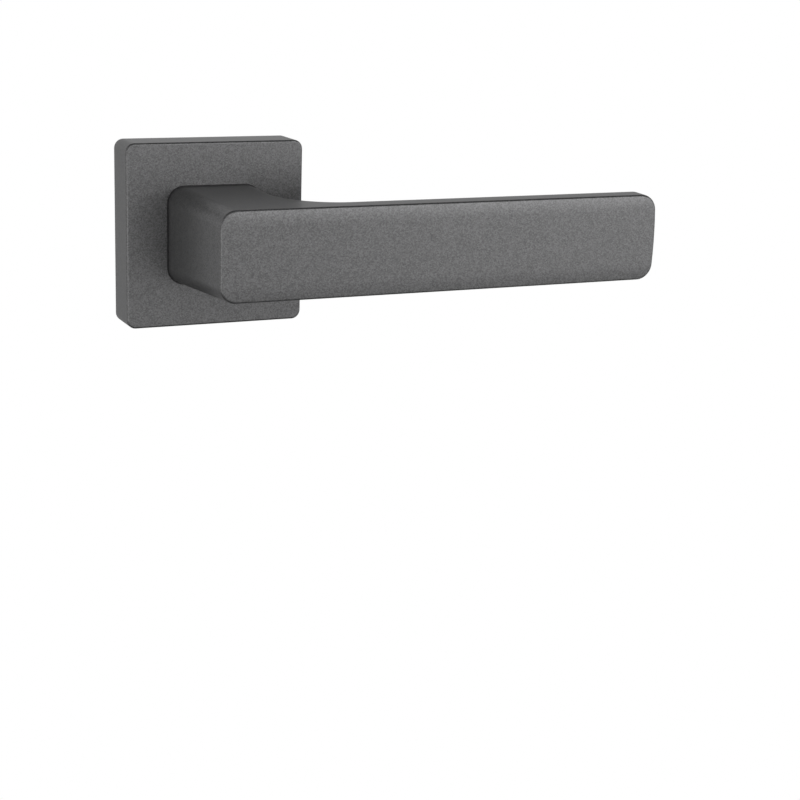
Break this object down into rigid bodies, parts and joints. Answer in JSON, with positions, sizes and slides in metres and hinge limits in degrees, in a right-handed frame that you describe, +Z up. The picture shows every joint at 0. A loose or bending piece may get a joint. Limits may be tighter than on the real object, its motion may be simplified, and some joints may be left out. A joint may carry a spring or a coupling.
{
  "type": "door lever handle",
  "caption": "Flat straight door lever on a square rose, with a square spindle, sprung return and hidden fixings",
  "frame": {"origin": "on the spindle axis, in the plane of the door face", "axes": "+X along the lever, +Y into the door along the spindle, +Z up"},
  "size_m": [0.1483, 0.0947, 0.052],
  "materials": {
    "lacquer": "satin anthracite lacquer",
    "spindle_steel": "drawn steel",
    "zinc_steel": "zinc plated",
    "black_steel": "black oxide",
    "spring_steel": "oiled spring steel",
    "moulded_nylon": "moulded",
    "bearing_nylon": "natural nylon"
  },
  "bodies": {
    "rose": {"rose_cover": "lacquer", "base_plate": "moulded_nylon", "neck_bush": "bearing_nylon", "wear_ring": "bearing_nylon", "thrust_washer": "zinc_steel", "retaining_ring": "black_steel", "return_spring": "spring_steel", "cover_clip_top_left": "spring_steel", "fixing_screw_top_left": "zinc_steel", "cover_clip_top_right": "spring_steel", "fixing_screw_top_right": "zinc_steel", "cover_clip_bottom_left": "spring_steel", "fixing_screw_bottom_left": "zinc_steel", "cover_clip_bottom_right": "spring_steel", "fixing_screw_bottom_right": "zinc_steel", "support_post_left": "zinc_steel", "support_post_right": "zinc_steel"},
    "handle": {"lever": "lacquer", "spindle": "spindle_steel", "grub_screw": "black_steel", "driver": "zinc_steel"}
  },
  "joints": [
    {"name": "lever_turn", "type": "hinge", "parent": "rose", "child": "handle", "pos_m": [0, 0, 0], "axis": [0, 1, 0], "range_deg": [0, 45], "stiffness_Nm_per_rad": 1.2, "springref_deg": -34.38, "deforming": ["return_spring"]}
  ]
}
